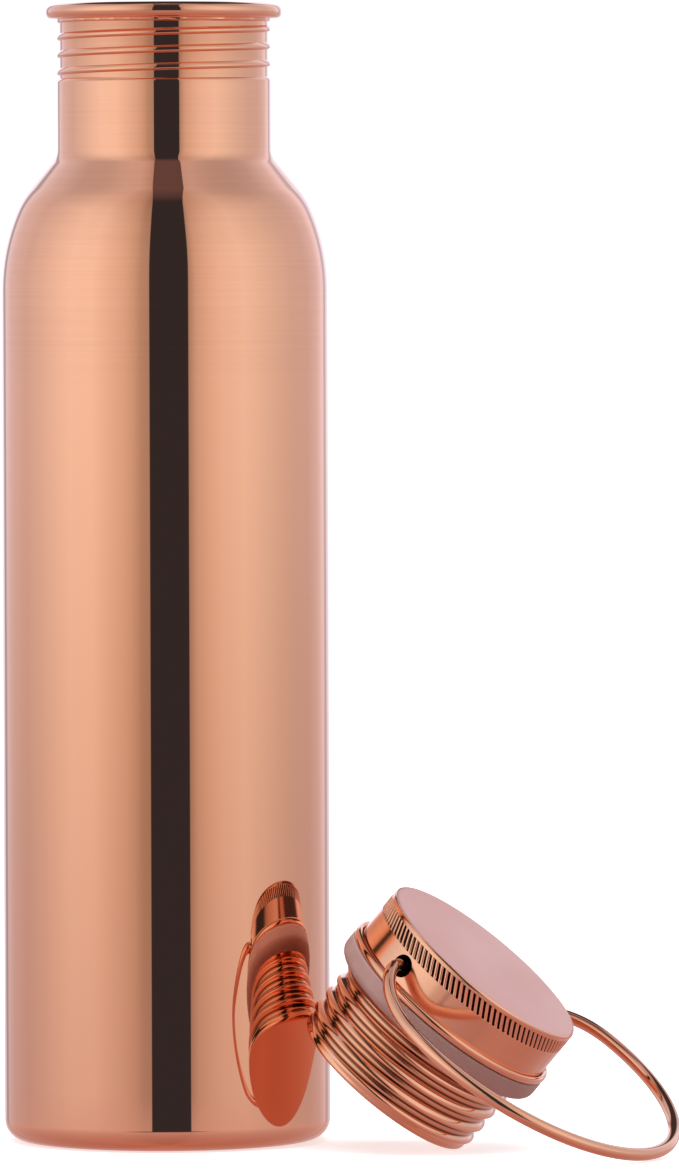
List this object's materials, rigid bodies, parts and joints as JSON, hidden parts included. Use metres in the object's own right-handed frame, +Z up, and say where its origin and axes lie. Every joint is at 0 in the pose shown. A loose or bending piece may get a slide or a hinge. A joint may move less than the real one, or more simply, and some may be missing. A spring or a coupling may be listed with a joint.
{
  "type": "water bottle",
  "caption": "Tall polished copper water bottle standing open, with its threaded stopper and swinging wire bail leaning beside it.",
  "frame": {"origin": "middle of the bottle's flat base, on the ground", "axes": "+Z up along the bottle's axis; the stopper leans beside the bottle towards +X, a little towards -Y"},
  "size_m": [0.1545, 0.1184, 0.2614],
  "materials": {
    "polished_copper": "mirror polished, fine turning lines on neck and shoulder",
    "satin_copper": "satin",
    "silicone": "matte translucent silicone"
  },
  "bodies": {
    "bottle": {"bottle_shell": "polished_copper"},
    "stopper": {"cap_drum": "polished_copper", "cap_top_disc": "satin_copper", "flange_plate": "polished_copper", "gasket": "silicone", "threaded_cup": "polished_copper"},
    "bail": {"bail_ring": "polished_copper"}
  },
  "joints": [
    {"name": "stopper_lift", "type": "slide", "parent": "bottle", "child": "stopper", "axis": [0, 0, 1], "range_m": [0, 0.3]},
    {"name": "bail_swing", "type": "hinge", "parent": "stopper", "child": "bail", "pos_m": [0.06801, -0.02913, 0.03682], "axis": [-0.5455, -0.7998, 0.2506], "range_deg": [0, 150]}
  ]
}
